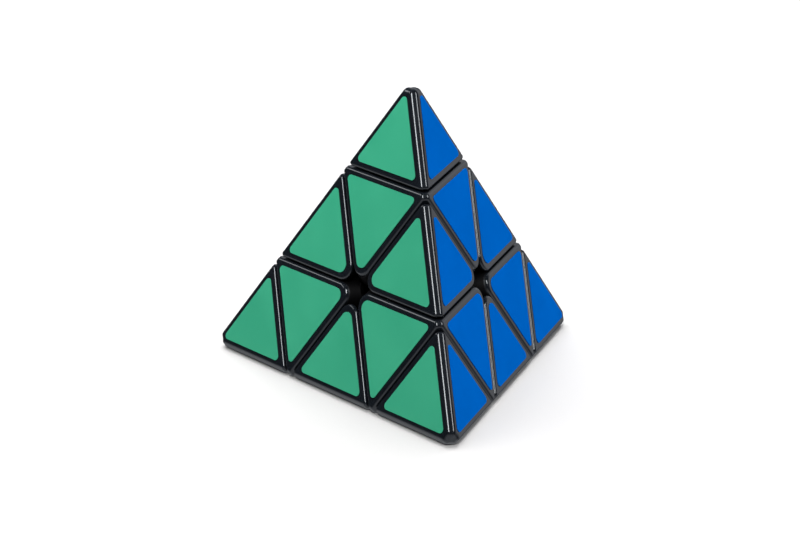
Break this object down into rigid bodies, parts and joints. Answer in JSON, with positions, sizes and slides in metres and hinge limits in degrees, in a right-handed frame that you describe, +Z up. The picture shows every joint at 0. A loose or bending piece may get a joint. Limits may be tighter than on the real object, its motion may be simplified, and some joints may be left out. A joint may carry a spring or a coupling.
{
  "type": "pyramid twisty puzzle",
  "caption": "Tetrahedral twisty puzzle: tips, layers and edge pieces turn about the corner axes on a sprung core, with triangular colour stickers on every face.",
  "frame": {"origin": "middle of the tetrahedron, where the four turning axes meet", "axes": "+Z up through the top tip, the front corner towards -Y, +X to the right"},
  "size_m": [0.0916, 0.0801, 0.0755],
  "materials": {
    "black_plastic": "glossy moulded plastic",
    "core_plastic": "moulded",
    "screw_steel": "zinc plated",
    "spring_steel": "drawn wire",
    "green_sticker": "satin vinyl",
    "blue_sticker": "satin vinyl",
    "red_sticker": "satin vinyl",
    "yellow_sticker": "satin vinyl"
  },
  "bodies": {
    "core": {"core_spider": "core_plastic", "axis_screws": "screw_steel", "spring_washers": "screw_steel", "axis_springs": "spring_steel"},
    "axial_top": {"axial_top": "black_plastic", "sticker_axial_top_green": "green_sticker", "sticker_axial_top_blue": "blue_sticker", "sticker_axial_top_red": "red_sticker"},
    "tip_top": {"tip_top": "black_plastic", "sticker_tip_top_green": "green_sticker", "sticker_tip_top_blue": "blue_sticker", "sticker_tip_top_red": "red_sticker"},
    "axial_right": {"axial_right": "black_plastic", "sticker_axial_right_yellow": "yellow_sticker", "sticker_axial_right_blue": "blue_sticker", "sticker_axial_right_red": "red_sticker"},
    "tip_right": {"tip_right": "black_plastic", "sticker_tip_right_yellow": "yellow_sticker", "sticker_tip_right_blue": "blue_sticker", "sticker_tip_right_red": "red_sticker"},
    "axial_left": {"axial_left": "black_plastic", "sticker_axial_left_yellow": "yellow_sticker", "sticker_axial_left_green": "green_sticker", "sticker_axial_left_red": "red_sticker"},
    "tip_left": {"tip_left": "black_plastic", "sticker_tip_left_yellow": "yellow_sticker", "sticker_tip_left_green": "green_sticker", "sticker_tip_left_red": "red_sticker"},
    "axial_front": {"axial_front": "black_plastic", "sticker_axial_front_yellow": "yellow_sticker", "sticker_axial_front_green": "green_sticker", "sticker_axial_front_blue": "blue_sticker"},
    "tip_front": {"tip_front": "black_plastic", "sticker_tip_front_yellow": "yellow_sticker", "sticker_tip_front_green": "green_sticker", "sticker_tip_front_blue": "blue_sticker"},
    "edge_top_right": {"edge_top_right": "black_plastic", "edge_foot_top_right": "black_plastic", "sticker_edge_top_right_blue": "blue_sticker", "sticker_edge_top_right_red": "red_sticker"},
    "edge_top_left": {"edge_top_left": "black_plastic", "edge_foot_top_left": "black_plastic", "sticker_edge_top_left_green": "green_sticker", "sticker_edge_top_left_red": "red_sticker"},
    "edge_top_front": {"edge_top_front": "black_plastic", "edge_foot_top_front": "black_plastic", "sticker_edge_top_front_green": "green_sticker", "sticker_edge_top_front_blue": "blue_sticker"},
    "edge_right_left": {"edge_right_left": "black_plastic", "edge_foot_right_left": "black_plastic", "sticker_edge_right_left_yellow": "yellow_sticker", "sticker_edge_right_left_red": "red_sticker"},
    "edge_right_front": {"edge_right_front": "black_plastic", "edge_foot_right_front": "black_plastic", "sticker_edge_right_front_yellow": "yellow_sticker", "sticker_edge_right_front_blue": "blue_sticker"},
    "edge_left_front": {"edge_left_front": "black_plastic", "edge_foot_left_front": "black_plastic", "sticker_edge_left_front_yellow": "yellow_sticker", "sticker_edge_left_front_green": "green_sticker"}
  },
  "joints": [
    {"name": "turn_top", "type": "hinge", "parent": "core", "child": "axial_top", "pos_m": [0, 0, 0], "axis": [0, 0, 1], "range_deg": [-240, 120]},
    {"name": "turn_right", "type": "hinge", "parent": "core", "child": "axial_right", "pos_m": [0, 0, 0], "axis": [0.8165, 0.4714, -0.3333], "range_deg": [-120, 120]},
    {"name": "turn_left", "type": "hinge", "parent": "core", "child": "axial_left", "pos_m": [0, 0, 0], "axis": [-0.8165, 0.4714, -0.3333], "range_deg": [-120, 120]},
    {"name": "turn_front", "type": "hinge", "parent": "core", "child": "axial_front", "pos_m": [0, 0, 0], "axis": [0, -0.9428, -0.3333], "range_deg": [-120, 120]},
    {"name": "spin_tip_top", "type": "hinge", "parent": "axial_top", "child": "tip_top", "pos_m": [0, 0, 0], "axis": [0, 0, 1], "continuous": true},
    {"name": "spin_tip_right", "type": "hinge", "parent": "axial_right", "child": "tip_right", "pos_m": [0, 0, 0], "axis": [0.8165, 0.4714, -0.3333], "continuous": true},
    {"name": "spin_tip_left", "type": "hinge", "parent": "axial_left", "child": "tip_left", "pos_m": [0, 0, 0], "axis": [-0.8165, 0.4714, -0.3333], "continuous": true},
    {"name": "spin_tip_front", "type": "hinge", "parent": "axial_front", "child": "tip_front", "pos_m": [0, 0, 0], "axis": [0, -0.9428, -0.3333], "continuous": true},
    {"name": "carry_top_right", "type": "hinge", "parent": "axial_right", "child": "edge_top_right", "pos_m": [0, 0, 0], "axis": [0, 0, 1], "range_deg": [-240, 120]},
    {"name": "carry_top_left", "type": "hinge", "parent": "axial_left", "child": "edge_top_left", "pos_m": [0, 0, 0], "axis": [0, 0, 1], "range_deg": [-240, 120]},
    {"name": "carry_top_front", "type": "hinge", "parent": "axial_front", "child": "edge_top_front", "pos_m": [0, 0, 0], "axis": [0, 0, 1], "range_deg": [-240, 120]},
    {"name": "carry_right_left", "type": "hinge", "parent": "axial_left", "child": "edge_right_left", "pos_m": [0, 0, 0], "axis": [0.8165, 0.4714, -0.3333], "range_deg": [-120, 120]},
    {"name": "carry_right_front", "type": "hinge", "parent": "axial_right", "child": "edge_right_front", "pos_m": [0, 0, 0], "axis": [0, -0.9428, -0.3333], "range_deg": [-120, 120]},
    {"name": "carry_left_front", "type": "hinge", "parent": "axial_front", "child": "edge_left_front", "pos_m": [0, 0, 0], "axis": [-0.8165, 0.4714, -0.3333], "range_deg": [-120, 120]}
  ],
  "couplings": [
    {"joint": "carry_top_right", "follows": "turn_top", "ratio": 1},
    {"joint": "carry_top_left", "follows": "turn_top", "ratio": 1},
    {"joint": "carry_top_front", "follows": "turn_top", "ratio": 1},
    {"joint": "carry_right_left", "follows": "turn_right", "ratio": 1},
    {"joint": "carry_right_front", "follows": "turn_front", "ratio": 1},
    {"joint": "carry_left_front", "follows": "turn_left", "ratio": 1}
  ]
}
